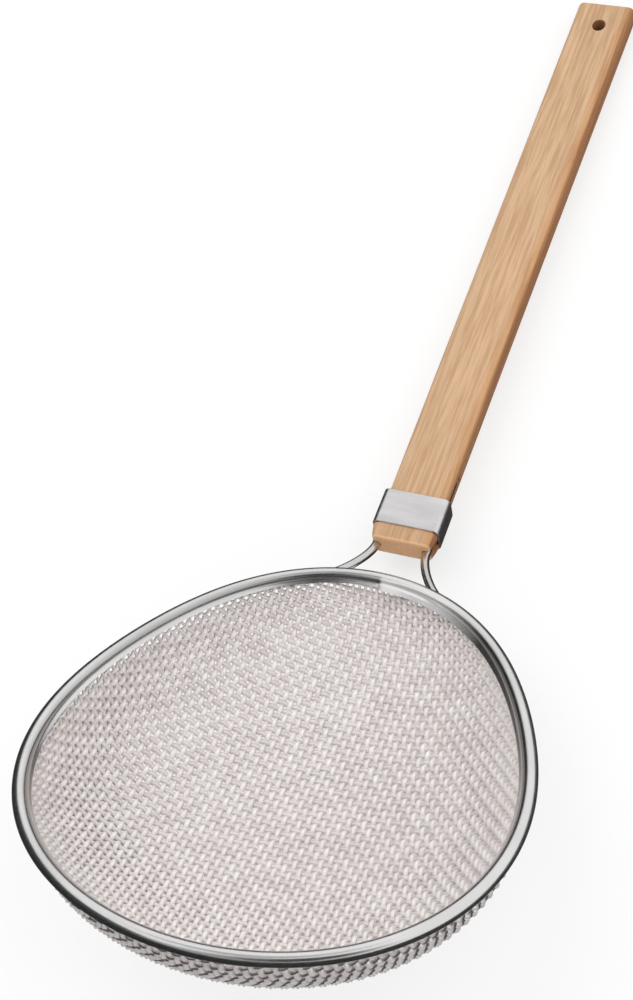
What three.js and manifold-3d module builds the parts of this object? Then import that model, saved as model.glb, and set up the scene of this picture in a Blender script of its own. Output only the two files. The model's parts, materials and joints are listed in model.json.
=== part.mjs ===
// Mesh skimmer: a woven wire bowl in a rolled rim, on two tangs clamped to a wooden handle.
// Millimetres. The pieces are made in the bowl's own frame: the rim lies in the plane z = 0 with its
// middle at the origin, and the handle leaves toward +Y. At the end the whole tool is laid down on the
// plane z = 0, on its bowl and the tip of its handle.

import * as THREE from 'three';
import { mergeVertices } from 'three/addons/utils/BufferGeometryUtils.js';
import Module from 'manifold-3d';

const wasm = await Module();
wasm.setup();

// Fit shared by all seats
const FIT = 0.3; // gap between pieces that touch

// Rim: the centre line of the bead is r = RADIUS + LENGTHEN cos 2t + POINT cos 3t + SQUARE cos 4t
const RIM_RADIUS = 105;
const RIM_LENGTHEN = 4.9; // drawn out along the handle
const RIM_POINT = 4.2; // narrower toward the handle, flatter at the front
const RIM_SQUARE = 0.4;
const HOOP_WIRE = 3.4; // diameter of the wire inside the bead
const BINDING_SHEET = 0.5;
const BINDING_LIP = 2.4; // how far the inner lip hangs below the rim's plane
const BINDING_SLOPE = 1; // how far the lip leans into the bowl at its lower edge
const BINDING_WRAP = 200; // degrees that the bead wraps round the hoop from its top

// Woven bowl
const BOWL_DEPTH = 58; // from the rim's plane to the middle of the mesh at the bottom
const BOWL_FULLNESS = 2.5; // 2 is a round bottom, more is flatter with a steeper wall
const HEM_THICK = 1;
const HEM_HEIGHT = 3.2;
const HEM_LAYER_GAP = 0.1; // between the two layers of wire in the hem, and under its faces
const HEM_HOLD = 0.3; // length of each wire inside the hem
const MESH_WIRE = 1.5;
const MESH_PITCH = 14.2;

// Handle, measured along its axis from the lower edge of the ferrule
const HANDLE_RISE = 18.2; // degrees above the rim's plane
const HANDLE_WIDTH = 28; // at the ferrule's lower edge
const HANDLE_END_WIDTH = 31.2; // at the far end
const HANDLE_THICK = 12.6;
const HANDLE_LENGTH = 370;
const HANDLE_STUB = 8; // wood below the ferrule
const HANDLE_EDGE = 3.4; // rounding of the long edges
const HANDLE_END_EDGE = 1.2; // rounding of both ends
const HANG_HOLE = 7; // diameter
const HANG_HOLE_INSET = 17.5; // from the far end
const FERRULE_LENGTH = 18.6;
const FERRULE_SHEET = 0.8;
const FERRULE_SIDE = 1.2; // room between it and the wood's narrow sides
const FERRULE_EDGE = 2.2; // inner rounding of its long edges
const FERRULE_SEAT = 0.2; // depth of the band pressed into the wood
const FERRULE_AHEAD = 148.4; // from the rim's middle to the handle's axis at the ferrule's lower edge
const FERRULE_DROP = 0.5; // of that point below the rim's plane

// Tangs
const TANG_WIRE = 4; // its outer side is flush with the handle's narrow side
const TANG_ABOVE = 16; // how far each tang runs in its groove above the ferrule
const TANG_PEG = 5; // end bent square into the wood
const TANG_OUTSET = 0.8; // of the tang under the bead, outward of the bead's middle
const TANG_MEETS = 20; // degrees from the handle at which the tang comes under the bead
const TANG_LEAVES = 34; // degrees at which it ends there
const TANG_PULL_HANDLE = 5.9; // straightness of the bend next to the handle
const TANG_PULL_RIM = 21.5; // straightness of the bend next to the rim

// Facets and tolerances
const RIM_STEPS = 60;
const HOOP_SIDES = 6;
const WIRE_SIDES = 8;
const BEAD_STEPS = 6;
const LIP_STEPS = 2;
const TANG_STEPS = 36;
const HOLE_SIDES = 20;
const CORNER_STEPS = 4;
const END_EDGE_STEPS = 2;
const PROFILE_STEPS = 240;
const HALVINGS = 40; // of the range when a length or an angle is searched for
const WELD = 1e-4; // vertices nearer than this are one

const hoopRadius = HOOP_WIRE / 2;
const beadInner = hoopRadius + FIT;
const beadOuter = beadInner + BINDING_SHEET;
const hemOuter = -beadInner;
const hemMiddle = hemOuter - HEM_THICK / 2;
const hemInner = hemOuter - HEM_THICK;
const lipOuter = hemInner - FIT;
const meshTop = -HEM_HEIGHT / 2;
const meshDrop = BOWL_DEPTH + meshTop;
const tangRadius = TANG_WIRE / 2;
const seatWidth = HANDLE_WIDTH - 2 * FERRULE_SEAT;
const seatThick = HANDLE_THICK - 2 * FERRULE_SEAT;
const seatEdge = HANDLE_EDGE - FERRULE_SEAT;
const tangAside = HANDLE_WIDTH / 2 - tangRadius;
const tangReach = FERRULE_LENGTH + TANG_ABOVE;
const tangBelow = -Math.sqrt((beadOuter + FIT + tangRadius) ** 2 - TANG_OUTSET ** 2);
const radians = THREE.MathUtils.degToRad;

const steel = (colour, roughness) =>
  new THREE.MeshStandardMaterial({ color: colour, roughness, metalness: 1 });
const finish = {
  mesh: steel(0xd9d0ce, 0.35),
  binding: steel(0xc9c9c9, 0.15),
  hoop: steel(0xb0b0b0, 0.4),
  tang: steel(0xc4c2c0, 0.25),
  ferrule: steel(0xdcdcdd, 0.32),
  wood: new THREE.MeshStandardMaterial({ color: 0xd6b18c, roughness: 0.55, metalness: 0 }),
};

// Solids

function toSolid(geometry) {
  const bare = geometry.clone();
  bare.deleteAttribute('normal');
  bare.deleteAttribute('uv');
  const merged = mergeVertices(bare, WELD);
  return new wasm.Manifold(
    new wasm.Mesh({
      numProp: 3,
      vertProperties: new Float32Array(merged.attributes.position.array),
      triVerts: new Uint32Array(merged.index.array),
    }),
  );
}

function toGeometry(solid) {
  const mesh = solid.getMesh();
  return meshOf(Array.from(mesh.vertProperties), Array.from(mesh.triVerts));
}

function meshOf(positions, triangles) {
  const geometry = new THREE.BufferGeometry();
  geometry.setAttribute('position', new THREE.Float32BufferAttribute(positions, 3));
  geometry.setIndex(triangles);
  geometry.computeVertexNormals();
  return geometry;
}

// Left-hand copy of a right-hand piece
function mirrored(solid) {
  const { vertProperties, triVerts } = solid.getMesh();
  const positions = Array.from(vertProperties, (value, k) => (k % 3 === 0 ? -value : value));
  return meshOf(positions, Array.from(triVerts).reverse());
}

// A section of (outward, up) points, counter-clockwise, carried once round the rim's centre line
function ringSweep(section) {
  const positions = [];
  const triangles = [];
  const count = section.length;
  for (let i = 0; i < RIM_STEPS; i += 1) {
    const angle = (2 * Math.PI * i) / RIM_STEPS;
    for (const { x, y } of section) {
      positions.push(...rimPoint(angle, x, y).toArray());
    }
    const next = (i + 1) % RIM_STEPS;
    for (let j = 0; j < count; j += 1) {
      const side = (j + 1) % count;
      const a = i * count + j;
      const b = i * count + side;
      const c = next * count + j;
      const d = next * count + side;
      triangles.push(a, b, c, b, d, c);
    }
  }
  return meshOf(positions, triangles);
}

const cornersFrom = (first) => [0, 1, 2, 3].map((step) => first + step);

// The four side faces between two rings of four vertex numbers
function skin(start, end) {
  return start.flatMap((_, k) => {
    const n = (k + 1) % 4;
    return [start[k], start[n], end[n], start[k], end[n], end[k]];
  });
}

function roundedRectangle(width, height, radius) {
  const x = width / 2;
  const y = height / 2;
  const shape = new THREE.Shape();
  shape.absarc(x - radius, y - radius, radius, 0, Math.PI / 2);
  shape.absarc(radius - x, y - radius, radius, Math.PI / 2, Math.PI);
  shape.absarc(radius - x, radius - y, radius, Math.PI, 1.5 * Math.PI);
  shape.absarc(x - radius, radius - y, radius, 1.5 * Math.PI, 2 * Math.PI);
  return shape;
}

function circle(radius) {
  const shape = new THREE.Shape();
  shape.absarc(0, 0, radius, 0, 2 * Math.PI);
  return shape;
}

// Rim line

function rimRadius(angle) {
  return (
    RIM_RADIUS +
    RIM_LENGTHEN * Math.cos(2 * angle) +
    RIM_POINT * Math.cos(3 * angle) +
    RIM_SQUARE * Math.cos(4 * angle)
  );
}

function rimSlope(angle) {
  return -(
    2 * RIM_LENGTHEN * Math.sin(2 * angle) +
    3 * RIM_POINT * Math.sin(3 * angle) +
    4 * RIM_SQUARE * Math.sin(4 * angle)
  );
}

// Unit vector along the rim, clockwise from above; angle 0 is toward the handle
function rimTangent(angle) {
  const radius = rimRadius(angle);
  const slope = rimSlope(angle);
  return new THREE.Vector3(
    slope * Math.sin(angle) + radius * Math.cos(angle),
    slope * Math.cos(angle) - radius * Math.sin(angle),
    0,
  ).normalize();
}

function rimPoint(angle, outward, up) {
  const radius = rimRadius(angle);
  const along = rimTangent(angle);
  return new THREE.Vector3(
    radius * Math.sin(angle) - outward * along.y,
    radius * Math.cos(angle) + outward * along.x,
    up,
  );
}

// Rim pieces

function hoop() {
  const section = circle(hoopRadius).getPoints(HOOP_SIDES / 2).slice(0, HOOP_SIDES);
  return ringSweep(section);
}

// The strip hangs down inside the hem as a lip, rounds over the top and wraps the hoop to below
function bindingEdge(bead, lip) {
  const points = [new THREE.Vector2(lip - BINDING_SLOPE, -BINDING_LIP)];
  for (let k = 0; k <= LIP_STEPS; k += 1) {
    const turn = (Math.PI / 2) * (1 - k / LIP_STEPS);
    points.push(new THREE.Vector2(lip * Math.sin(turn), bead * Math.cos(turn)));
  }
  for (let k = 1; k <= BEAD_STEPS; k += 1) {
    const turn = Math.PI / 2 - (radians(BINDING_WRAP) * k) / BEAD_STEPS;
    points.push(new THREE.Vector2(bead * Math.cos(turn), bead * Math.sin(turn)));
  }
  return points;
}

function binding() {
  const outside = bindingEdge(beadOuter, lipOuter - BINDING_SHEET);
  const inside = bindingEdge(beadInner, lipOuter);
  return ringSweep([...inside, ...outside.reverse()]);
}

// Bowl surface

// Profile of the bowl from its bottom to its hem: share of the rim's radius, height, share of the length
function bowlProfile() {
  const wall = RIM_RADIUS + hemMiddle;
  const rows = [];
  let length = 0;
  for (let k = 0; k <= PROFILE_STEPS; k += 1) {
    const turn = ((Math.PI / 2) * k) / PROFILE_STEPS;
    const share = Math.sin(turn) ** (2 / BOWL_FULLNESS);
    const height = meshTop - meshDrop * Math.cos(turn);
    if (k > 0) {
      const before = rows[k - 1];
      length += Math.hypot(wall * (share - before.share), height - before.height);
    }
    rows.push({ share, height, length });
  }
  return { rows, length, stretch: length / wall };
}

const profile = bowlProfile();

// Length of wire from the bottom of the bowl to its hem, in a direction seen from above
function clothReach(angle) {
  return rimPoint(angle, hemMiddle, 0).length() * profile.stretch;
}

function hemDistance(across, along) {
  return clothReach(Math.atan2(across, along)) - Math.hypot(across, along);
}

// Lays a point of the flat cloth on the bowl: its distance from the middle is kept along the wall
function onBowl(across, along) {
  const angle = Math.atan2(across, along);
  const length = (profile.length * Math.hypot(across, along)) / clothReach(angle);
  const upper = profile.rows.findIndex((row) => row.length >= length);
  const high = profile.rows[upper < 0 ? PROFILE_STEPS : Math.max(upper, 1)];
  const low = profile.rows[profile.rows.indexOf(high) - 1];
  const part = Math.min((length - low.length) / (high.length - low.length), 1);
  const share = THREE.MathUtils.lerp(low.share, high.share, part);
  const edge = rimPoint(angle, hemMiddle, 0).multiplyScalar(share);
  return edge.setZ(THREE.MathUtils.lerp(low.height, high.height, part));
}

// Local axes on the bowl: along the two wires and inward from the mesh
function clothFrame(across, along) {
  const step = MESH_WIRE / 2;
  const at = onBowl(across, along);
  const aside = onBowl(across + step, along).sub(onBowl(across - step, along)).normalize();
  const ahead = onBowl(across, along + step).sub(onBowl(across, along - step)).normalize();
  return { at, aside, ahead, inward: aside.clone().cross(ahead).normalize() };
}

function clothPoint(frame, aside, ahead, inward) {
  return frame.at
    .clone()
    .addScaledVector(frame.aside, aside)
    .addScaledVector(frame.ahead, ahead)
    .addScaledVector(frame.inward, inward);
}

// Woven mesh. Crossing (i, j) is a block of two wires: on even crossings the lengthwise wire is the
// upper one, on odd crossings the crosswise wire is. Sides 0 to 3 of a block face back, right, ahead, left.

const SIDE_STEPS = [[0, -1], [1, 0], [0, 1], [-1, 0]];
const CORNERS = [[-1, -1], [1, -1], [1, 1], [-1, 1]];
const nearestToHem = HEM_HEIGHT / 2 + MESH_WIRE;
const wireEnds = HEM_HEIGHT / 2 - HEM_HOLD;
const clothLine = (index) => (index + 0.5) * MESH_PITCH;
const crossingKey = (i, j) => `${i},${j}`;

function crossings() {
  const half = Math.ceil(clothReach(0) / MESH_PITCH);
  const found = new Map();
  for (let i = -half; i < half; i += 1) {
    for (let j = -half; j < half; j += 1) {
      if (hemDistance(clothLine(i), clothLine(j)) > nearestToHem) {
        const frame = clothFrame(clothLine(i), clothLine(j));
        found.set(crossingKey(i, j), { i, j, frame, first: 12 * found.size });
      }
    }
  }
  return found;
}

// Upper or lower half of the block that the wire through this side takes, as 1 or 0
const wireHalf = (crossing, side) => Math.abs(crossing.i + crossing.j + side) % 2;

// Vertex numbers of one half of one side, counter-clockwise from outside
function sideRing({ first }, side, half) {
  const low = first + 4 * half;
  const next = (side + 1) % 4;
  return [low + side, low + next, low + 4 + next, low + 4 + side];
}

// Where the wire through this side of its last crossing ends inside the hem
function tailEnd(crossing, side) {
  const [stepAcross, stepAlong] = SIDE_STEPS[side];
  const across = clothLine(crossing.i);
  const along = clothLine(crossing.j);
  let near = 0;
  let far = 2 * clothReach(0);
  for (let k = 0; k < HALVINGS; k += 1) {
    const middle = (near + far) / 2;
    const below = hemDistance(across + stepAcross * middle, along + stepAlong * middle) > wireEnds;
    near = below ? middle : near;
    far = below ? far : middle;
  }
  return clothFrame(across + stepAcross * near, along + stepAlong * near);
}

// Corners of a wire's section, counter-clockwise about its way out through this side. In the hem the
// lengthwise wires lie on the inner side and the crosswise wires on the outer side.
function tailRing(frame, side) {
  const [stepAcross, stepAlong] = SIDE_STEPS[side];
  const half = MESH_WIRE / 2;
  const apart = HEM_LAYER_GAP / 2;
  const skinUnder = HEM_THICK / 2 - HEM_LAYER_GAP / 2;
  const [low, high] = side % 2 ? [-skinUnder, -apart] : [apart, skinUnder];
  const corner = (turn, height) =>
    clothPoint(frame, -turn * stepAlong * half, turn * stepAcross * half, height);
  return [corner(-1, low), corner(1, low), corner(1, high), corner(-1, high)];
}

function weave() {
  const found = crossings();
  const positions = [];
  const triangles = [];
  const half = MESH_WIRE / 2;
  const quad = ([a, b, c, d]) => triangles.push(a, b, c, a, c, d);
  const addRing = (ring) => {
    const first = positions.length / 3;
    ring.forEach((corner) => positions.push(...corner.toArray()));
    return cornersFrom(first);
  };
  const addTail = (crossing, side, from) => {
    const atEnd = addRing(tailRing(tailEnd(crossing, side), side));
    triangles.push(...skin(from, atEnd));
    quad(atEnd);
  };
  for (const { frame } of found.values()) {
    for (const level of [-1, 0, 1]) {
      addRing(CORNERS.map(([x, y]) => clothPoint(frame, x * half, y * half, level * MESH_WIRE)));
    }
  }
  for (const crossing of found.values()) {
    quad(cornersFrom(crossing.first).reverse());
    quad(cornersFrom(crossing.first + 8));
    SIDE_STEPS.forEach(([stepAcross, stepAlong], side) => {
      const taken = wireHalf(crossing, side);
      const ring = sideRing(crossing, side, taken);
      const next = found.get(crossingKey(crossing.i + stepAcross, crossing.j + stepAlong));
      quad(sideRing(crossing, side, 1 - taken));
      if (!next) {
        addTail(crossing, side, ring);
      } else if (side === 1 || side === 2) {
        const [a, b, c, d] = sideRing(next, (side + 2) % 4, wireHalf(next, side));
        triangles.push(...skin(ring, [b, a, d, c]));
      }
    });
  }
  return meshOf(positions, triangles);
}

function meshBowl() {
  const hem = ringSweep([
    new THREE.Vector2(hemInner, -HEM_HEIGHT),
    new THREE.Vector2(hemOuter, -HEM_HEIGHT),
    new THREE.Vector2(hemOuter, 0),
    new THREE.Vector2(hemInner, 0),
  ]);
  return toGeometry(toSolid(hem).add(toSolid(weave())));
}

// Handle pieces, in the handle's own frame: +Y along it from the ferrule's lower edge, +Z off its face

const alongHandle = (geometry) => geometry.rotateX(-Math.PI / 2);

function tangPeg(radius, tip) {
  const peg = new THREE.CylinderGeometry(radius, radius, tangAside - tip, WIRE_SIDES);
  peg.rotateY(Math.PI / WIRE_SIDES).rotateZ(Math.PI / 2);
  return peg.translate((tangAside + tip) / 2, tangReach, 0);
}

// The bar grows evenly wider toward its far end
function widened(bar) {
  const at = bar.attributes.position;
  const gain = (HANDLE_END_WIDTH / HANDLE_WIDTH - 1) / (HANDLE_LENGTH - HANDLE_STUB);
  for (let k = 0; k < at.count; k += 1) {
    at.setX(k, at.getX(k) * (1 + gain * at.getY(k)));
  }
  return bar;
}

function handleBar() {
  const section = roundedRectangle(
    HANDLE_WIDTH - 2 * HANDLE_END_EDGE,
    HANDLE_THICK - 2 * HANDLE_END_EDGE,
    HANDLE_EDGE - HANDLE_END_EDGE,
  );
  const bar = new THREE.ExtrudeGeometry(section, {
    depth: HANDLE_LENGTH - 2 * HANDLE_END_EDGE,
    curveSegments: CORNER_STEPS,
    bevelEnabled: true,
    bevelSize: HANDLE_END_EDGE,
    bevelThickness: HANDLE_END_EDGE,
    bevelSegments: END_EDGE_STEPS,
  });
  return widened(alongHandle(bar).translate(0, HANDLE_END_EDGE - HANDLE_STUB, 0));
}

// The seat of one tang: an open groove along the narrow side and a hole for its bent end
function tangSeat() {
  const radius = tangRadius + FIT;
  const top = tangReach + radius;
  const bottom = -HANDLE_STUB - radius;
  const slot = new THREE.Shape();
  slot.absarc(tangAside, 0, radius, Math.PI / 2, 1.5 * Math.PI);
  slot.lineTo(HANDLE_WIDTH / 2 + radius, -radius);
  slot.lineTo(HANDLE_WIDTH / 2 + radius, radius);
  const groove = new THREE.ExtrudeGeometry(slot, {
    depth: top - bottom,
    curveSegments: WIRE_SIDES / 4,
    bevelEnabled: false,
  });
  const seat = toSolid(alongHandle(groove).translate(0, bottom, 0));
  return seat.add(toSolid(tangPeg(radius, tangAside - tangRadius - TANG_PEG - FIT)));
}

// The band of wood that the ferrule's grip takes away
function ferruleSeat() {
  const section = roundedRectangle(2 * HANDLE_WIDTH, 2 * HANDLE_THICK, HANDLE_EDGE);
  section.holes.push(roundedRectangle(seatWidth, seatThick, seatEdge));
  const band = new THREE.ExtrudeGeometry(section, {
    depth: FERRULE_LENGTH + 2 * FIT,
    curveSegments: CORNER_STEPS,
    bevelEnabled: false,
  });
  return alongHandle(band).translate(0, -FIT, 0);
}

function handle() {
  const hole = new THREE.CylinderGeometry(HANG_HOLE / 2, HANG_HOLE / 2, 2 * HANDLE_THICK, HOLE_SIDES);
  hole.rotateX(Math.PI / 2).translate(0, HANDLE_LENGTH - HANDLE_STUB - HANG_HOLE_INSET, 0);
  const seat = tangSeat();
  const grooved = toSolid(handleBar()).subtract(seat).subtract(toSolid(mirrored(seat)));
  return toGeometry(grooved.subtract(toSolid(ferruleSeat())).subtract(toSolid(hole)));
}

function ferrule() {
  const width = HANDLE_WIDTH + 2 * FERRULE_SIDE;
  const thick = seatThick + 2 * FIT;
  const sheets = 2 * FERRULE_SHEET;
  const section = roundedRectangle(width + sheets, thick + sheets, FERRULE_EDGE + FERRULE_SHEET);
  section.holes.push(roundedRectangle(width, thick, FERRULE_EDGE));
  const sleeve = new THREE.ExtrudeGeometry(section, {
    depth: FERRULE_LENGTH,
    curveSegments: CORNER_STEPS,
    bevelEnabled: false,
  });
  return alongHandle(sleeve);
}

// Tangs

const grip = new THREE.Group();
grip.position.set(0, FERRULE_AHEAD, -FERRULE_DROP);
grip.rotation.x = radians(HANDLE_RISE);
grip.updateMatrix();

class UnderRim extends THREE.Curve {
  getPoint(t) {
    const angle = radians(THREE.MathUtils.lerp(TANG_MEETS, TANG_LEAVES, t));
    return rimPoint(angle, TANG_OUTSET, tangBelow);
  }
}

// Right tang: down its groove, out of the handle's end in one bend, then along under the bead
function tangRoute() {
  const top = new THREE.Vector3(tangAside, tangReach + tangRadius, 0).applyMatrix4(grip.matrix);
  const exit = new THREE.Vector3(tangAside, -HANDLE_STUB, 0).applyMatrix4(grip.matrix);
  const down = exit.clone().sub(top).normalize();
  const meets = rimPoint(radians(TANG_MEETS), TANG_OUTSET, tangBelow);
  const bend = new THREE.CubicBezierCurve3(
    exit,
    exit.clone().addScaledVector(down, TANG_PULL_HANDLE),
    meets.clone().addScaledVector(rimTangent(radians(TANG_MEETS)), -TANG_PULL_RIM),
    meets,
  );
  const route = new THREE.CurvePath();
  route.add(new THREE.LineCurve3(top, exit));
  route.add(bend);
  route.add(new UnderRim());
  return route;
}

function tang() {
  const wire = new THREE.ExtrudeGeometry(circle(tangRadius), {
    steps: TANG_STEPS,
    curveSegments: WIRE_SIDES / 2,
    extrudePath: tangRoute(),
  });
  const peg = tangPeg(tangRadius, tangAside - tangRadius - TANG_PEG).applyMatrix4(grip.matrix);
  return toSolid(wire).add(toSolid(peg));
}

// Assembly

function piece(name, geometry, material) {
  const mesh = new THREE.Mesh(geometry, material);
  mesh.name = name;
  return mesh;
}

const bowl = piece('mesh_bowl', meshBowl(), finish.mesh);
const rightTang = tang();
const wood = piece('handle', handle(), finish.wood);
grip.add(wood, piece('ferrule', ferrule(), finish.ferrule));

const skimmer = new THREE.Group();
skimmer.add(
  bowl,
  piece('rim_binding', binding(), finish.binding),
  piece('rim_hoop', hoop(), finish.hoop),
  piece('left_tang', mirrored(rightTang), finish.tang.clone()),
  piece('right_tang', toGeometry(rightTang), finish.tang),
  grip,
);

// Lies down: turned until the bowl and the handle's tip are level, then set on the plane
function lowest(mesh, turn) {
  skimmer.rotation.x = -turn;
  skimmer.updateMatrixWorld(true);
  return new THREE.Box3().setFromObject(mesh, true).min.z;
}

let flat = 0;
let steep = Math.PI / 4;
for (let k = 0; k < HALVINGS; k += 1) {
  const middle = (flat + steep) / 2;
  const bowlIsLower = lowest(bowl, middle) < lowest(wood, middle);
  flat = bowlIsLower ? middle : flat;
  steep = bowlIsLower ? steep : middle;
}
skimmer.rotation.x = -flat;
skimmer.updateMatrixWorld(true);
const extent = new THREE.Box3().setFromObject(skimmer, true);
skimmer.position.set(0, -(extent.min.y + extent.max.y) / 2, -extent.min.z);

const model = new THREE.Group();
model.add(skimmer);
model.updateMatrixWorld(true);

export default model;
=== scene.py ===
"""Mesh skimmer: woven bowl, rolled rim, tangs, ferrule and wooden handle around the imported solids."""

import json

import bpy
import numpy as np
from bpy.props import FloatProperty, FloatVectorProperty, IntProperty, PointerProperty
from mathutils import Matrix


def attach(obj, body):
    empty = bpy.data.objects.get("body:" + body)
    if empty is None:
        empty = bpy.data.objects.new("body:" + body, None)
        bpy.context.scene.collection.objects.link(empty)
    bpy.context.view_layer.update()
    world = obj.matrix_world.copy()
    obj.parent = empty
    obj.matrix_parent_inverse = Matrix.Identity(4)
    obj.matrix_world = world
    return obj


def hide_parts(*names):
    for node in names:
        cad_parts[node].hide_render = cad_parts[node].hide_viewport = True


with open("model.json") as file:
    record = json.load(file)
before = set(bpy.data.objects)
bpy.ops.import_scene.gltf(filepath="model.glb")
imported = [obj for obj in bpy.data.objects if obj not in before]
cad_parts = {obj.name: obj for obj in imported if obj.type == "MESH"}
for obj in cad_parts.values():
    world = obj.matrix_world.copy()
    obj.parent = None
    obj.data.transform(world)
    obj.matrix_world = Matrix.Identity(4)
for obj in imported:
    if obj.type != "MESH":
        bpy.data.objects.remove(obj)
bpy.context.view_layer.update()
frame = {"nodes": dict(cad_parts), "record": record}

bl_info = {
    "name": "Mesh skimmer",
    "version": (1, 0, 0),
    "blender": (4, 5, 0),
    "location": "3D View > Sidebar > Skimmer",
    "description": "Builds the visible pieces of a mesh skimmer around its packed solids",
    "category": "Add Mesh",
}

BODY = "root"
GRIP_MOUNT = next(mount for mount in frame["record"]["mounts"] if mount["name"] == "handle_face")
QUARTER_TURN = np.pi / 2
HALF_TURN = np.pi
FULL_TURN = 2 * np.pi


# Settings

def size(name, default, description):
    """A length in metres."""
    return FloatProperty(name=name, description=description, default=default, unit="LENGTH", precision=5)


def angle(name, degrees, description):
    """An angle, written in degrees and kept in radians."""
    return FloatProperty(
        name=name, description=description, default=np.radians(degrees), subtype="ANGLE"
    )


def share(name, default, description):
    """A plain number without a unit."""
    return FloatProperty(name=name, description=description, default=default, min=0, precision=4)


def count(name, default, description):
    """A number of steps, sides or samples."""
    return IntProperty(name=name, description=description, default=default, min=2)


def power(name, default, description):
    """The power of a lamp."""
    return FloatProperty(name=name, description=description, default=default, unit="POWER")


def colour(name, default, description):
    """A linear colour."""
    return FloatVectorProperty(
        name=name, description=description, default=default, subtype="COLOR", size=3, min=0, max=1
    )


class RimSizes(bpy.types.PropertyGroup):
    """The rolled rim, drawn as r = radius + lengthen cos 2t + point cos 3t + square cos 4t."""

    radius: size("Radius", 0.105, "Mean radius of the bead's centre line")
    lengthen: size("Lengthen", 0.0049, "How much the rim is drawn out along the handle")
    point: size("Point", 0.0042, "How much it narrows toward the handle")
    square: size("Square", 0.0004, "How much its sides are squared")
    bead: size("Bead", 0.0025, "Reach of the rolled bead outward of its centre line")
    bead_wide: size("Bead width", 0.0031, "Half width of the bead, which is drawn out inward")
    bead_high: size("Bead height", 0.0028, "Half height of the bead")
    sheet: size("Sheet", 0.0005, "Thickness of the strip")
    lip_inset: size("Lip inset", 0.0052, "From the bead's middle inward to the lip's lower edge")
    lip_drop: size("Lip drop", 0.0016, "How far the lip hangs below the rim's plane")
    lip_starts: angle("Lip starts", 168, "Where the lip leaves the bead, from its outer side over its top")
    lip_slope: angle("Lip slope", 50, "Slope of the lip at its lower edge")
    wrap: angle("Wrap", 200, "How far the strip wraps the hoop from its top")
    seam_at: angle("Seam", 0.6, "Where the ends of the strip overlap, clockwise from the handle")
    seam_drop: size("Seam drop", 0.0012, "How much lower the lip hangs on the overlapping end")
    seam_rise: size("Seam rise", 0.0004, "How far the overlapping end stands proud")
    seam_length: angle("Seam length", 16, "How far the overlapping end runs before it lies flush")
    seam_fade: angle("Seam fade", 75, "How far the lower lip runs before it is level again")
    # Painted shade and painted reflection: the dark band beside the lip is the strip's colour darkened
    # there, not a cut; this angle is how far it reaches up the bead
    groove: angle("Groove", 66, "How far the dark groove beside the lip reaches up the bead")
    steps: count("Steps", 480, "Sections round the rim")


class BowlSizes(bpy.types.PropertyGroup):
    """The woven bowl: a flat cloth laid on a bowl of revolution that is stretched to the rim."""

    depth: size("Depth", 0.0566, "From the rim's plane to the middle of the cloth at the bottom")
    fullness: share("Fullness", 2.5, "2 is a round bottom, more is flatter with a steeper wall")
    hem: size("Hem", 0.0025, "From the bead's middle inward to the middle of the cloth")
    hem_height: size("Hem height", 0.0032, "Height of the pressed edge inside the rim")
    tuck: size("Tuck", 0.0003, "Length of wire inside the rim above the middle of the hem")
    press: size("Press", 0.006, "Length of wire that flattens toward the hem")
    pressed: share("Pressed", 0.1, "Share of the wave left in the hem")
    hem_flat: size("Hem flat", 0.0024, "Length of wire below the hem that stays flat under the lip")
    thinned: share("Thinned", 0.5, "Share of the wire's thickness left in the hem")
    wire: size("Wire", 0.0023, "Diameter of the wires that run along the handle")
    cross_wire: size("Cross wire", 0.0023, "Diameter of the wires that run across")
    crimp: share("Crimp", 0.76, "Share of the over and under that the wires along the handle take")
    settle: share("Settle", 0.68, "Wave left where the wires have pressed into each other")
    pitch_across: size("Pitch across", 0.00336, "Distance between wires that run along the handle")
    pitch_along: size("Pitch along", 0.00358, "Distance between wires that run across")
    samples: count("Samples", 4, "Sections of a wire per crossing")
    sides: count("Sides", 6, "Corners of a wire's section")


class HandleSizes(bpy.types.PropertyGroup):
    """The wooden bar and its sleeve, measured from the sleeve's lower edge."""

    rise: angle("Rise", 18.2, "Handle above the rim's plane")
    ahead: size("Ahead", 0.1484, "From the rim's middle to the sleeve's lower edge, along the rim's plane")
    drop: size("Drop", 0.0005, "That point below the rim's plane")
    grip_at: size("Grip", 0.18, "From the sleeve's lower edge to the packed mount on the face")
    width: size("Width", 0.028, "Broad face at the sleeve's lower edge")
    end_width: size("End width", 0.0312, "Broad face at the far end")
    thick: size("Thickness", 0.0126, "Narrow side")
    length: size("Length", 0.37, "Whole length of the wood")
    stub: size("Stub", 0.008, "Wood below the sleeve")
    edge: size("Edge", 0.0034, "Rounding of the long edges")
    stub_edge: size("Stub edge", 0.0023, "Rounding of the long edges of the stub")
    end_edge: size("End edge", 0.0012, "Rounding of both ends")
    hole: size("Hole", 0.0034, "Half width of the hanging hole")
    hole_oval: share("Hole oval", 1.28, "Length of the hole against its width")
    hole_edge: size("Hole edge", 0.0004, "Rounding of the hole's mouth")
    hole_inset: size("Hole inset", 0.0175, "From the far end to the hole's middle")
    sleeve: size("Sleeve", 0.0186, "Length of the ferrule")
    sleeve_sheet: size("Sleeve sheet", 0.0008, "Thickness of the ferrule")
    sleeve_edge: size("Sleeve edge", 0.0022, "Inner rounding of the ferrule's long edges")
    sleeve_gap: size("Sleeve gap", 0.0001, "Between the ferrule and the wood's broad faces")
    sleeve_side: size("Sleeve side", 0.0012, "Between the ferrule and the wood's narrow sides")
    swell: size("Swell", 0.0013, "How far the stub bulges at each side just below the ferrule")
    swell_end: size("Swell end", 0.0004, "How far the stub draws in again at its end")


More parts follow.
